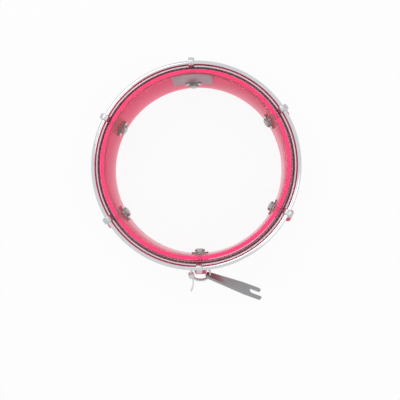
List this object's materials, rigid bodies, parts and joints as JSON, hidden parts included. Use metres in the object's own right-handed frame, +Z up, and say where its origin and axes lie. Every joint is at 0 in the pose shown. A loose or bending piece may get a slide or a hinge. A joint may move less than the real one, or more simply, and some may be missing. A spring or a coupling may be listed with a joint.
{
  "type": "tamborim",
  "caption": "Small frame drum: pink transparent shell, clear head, chromed hoop with tension hooks and lugs, and a tuning key on a tie.",
  "frame": {"origin": "centre of the playing face, on the head's top surface", "axes": "+Z up out of the playing face along the drum's axis; +Y from the centre away from the hook that carries the tuning key"},
  "size_m": [0.167, 0.2011, 0.045],
  "materials": {
    "acrylic": "polished cast acrylic tube, transparent pink",
    "film": "clear polyester film",
    "flesh_hoop": "crimped channel",
    "chrome": "bright chrome plate",
    "zinc": "bright zinc plate",
    "brass": "turned",
    "lug": "moulded, glossy pink",
    "badge": "smooth, bare",
    "key": "pressed and plated",
    "nylon": "natural nylon"
  },
  "bodies": {
    "shell_body": {"shell": "acrylic", "badge_plate": "badge", "lug_1": "lug", "lug_2": "lug", "lug_3": "lug", "lug_4": "lug", "lug_5": "lug", "lug_6": "lug", "lug_insert_1": "brass", "lug_insert_2": "brass", "lug_insert_3": "brass", "lug_insert_4": "brass", "lug_insert_5": "brass", "lug_insert_6": "brass", "lug_bolt_1": "zinc", "lug_bolt_2": "zinc", "lug_bolt_3": "zinc", "lug_bolt_4": "zinc", "lug_bolt_5": "zinc", "lug_bolt_6": "zinc", "backing_plate_1": "zinc", "backing_plate_2": "zinc", "backing_plate_3": "zinc", "backing_plate_4": "zinc", "backing_plate_5": "zinc", "backing_plate_6": "zinc", "rod_washer_1": "zinc", "rod_washer_2": "zinc", "rod_washer_3": "zinc", "rod_washer_4": "zinc", "rod_washer_5": "zinc", "rod_washer_6": "zinc"},
    "head_assembly": {"head_film": "film", "flesh_hoop": "flesh_hoop", "hoop": "chrome", "tension_hook_1": "chrome", "tension_hook_2": "chrome", "tension_hook_3": "chrome", "tension_hook_4": "chrome", "tension_hook_5": "chrome", "tension_hook_6": "chrome"},
    "nut_1": {"tuning_nut_1": "zinc"},
    "nut_2": {"tuning_nut_2": "zinc"},
    "nut_3": {"tuning_nut_3": "zinc"},
    "nut_4": {"tuning_nut_4": "zinc"},
    "nut_5": {"tuning_nut_5": "zinc"},
    "nut_6": {"tuning_nut_6": "zinc"},
    "tie": {"key_tie": "nylon"},
    "key": {"tuning_key": "key"}
  },
  "joints": [
    {"name": "head_tension", "type": "slide", "parent": "shell_body", "child": "head_assembly", "axis": [0, 0, 1], "range_m": [0, 0.005]},
    {"name": "nut_turn_1", "type": "hinge", "parent": "shell_body", "child": "nut_1", "pos_m": [0.07353, 0.04245, 0], "axis": [0, 0, -1], "range_deg": [0, 2575]},
    {"name": "nut_turn_2", "type": "hinge", "parent": "shell_body", "child": "nut_2", "pos_m": [0, 0.0849, 0], "axis": [0, 0, -1], "range_deg": [0, 2575]},
    {"name": "nut_turn_3", "type": "hinge", "parent": "shell_body", "child": "nut_3", "pos_m": [-0.07353, 0.04245, 0], "axis": [0, 0, -1], "range_deg": [0, 2575]},
    {"name": "nut_turn_4", "type": "hinge", "parent": "shell_body", "child": "nut_4", "pos_m": [-0.07353, -0.04245, 0], "axis": [0, 0, -1], "range_deg": [0, 2575]},
    {"name": "nut_turn_5", "type": "hinge", "parent": "shell_body", "child": "nut_5", "pos_m": [0, -0.0849, 0], "axis": [0, 0, -1], "range_deg": [0, 2575]},
    {"name": "nut_turn_6", "type": "hinge", "parent": "shell_body", "child": "nut_6", "pos_m": [0.07353, -0.04245, 0], "axis": [0, 0, -1], "range_deg": [0, 2575]},
    {"name": "tie_swivel", "type": "hinge", "parent": "shell_body", "child": "tie", "pos_m": [0, -0.0849, 0], "axis": [0, 0, 1], "range_deg": [-15, 15]},
    {"name": "key_swing", "type": "hinge", "parent": "tie", "child": "key", "pos_m": [0.00725, -0.09005, -0.02688], "axis": [-0.46, -0.7447, -0.4836], "range_deg": [0, 80]}
  ],
  "couplings": [
    {"joint": "nut_turn_1", "follows": "head_tension", "rad_per_m": 8976},
    {"joint": "nut_turn_2", "follows": "head_tension", "rad_per_m": 8976},
    {"joint": "nut_turn_3", "follows": "head_tension", "rad_per_m": 8976},
    {"joint": "nut_turn_4", "follows": "head_tension", "rad_per_m": 8976},
    {"joint": "nut_turn_5", "follows": "head_tension", "rad_per_m": 8976},
    {"joint": "nut_turn_6", "follows": "head_tension", "rad_per_m": 8976}
  ]
}
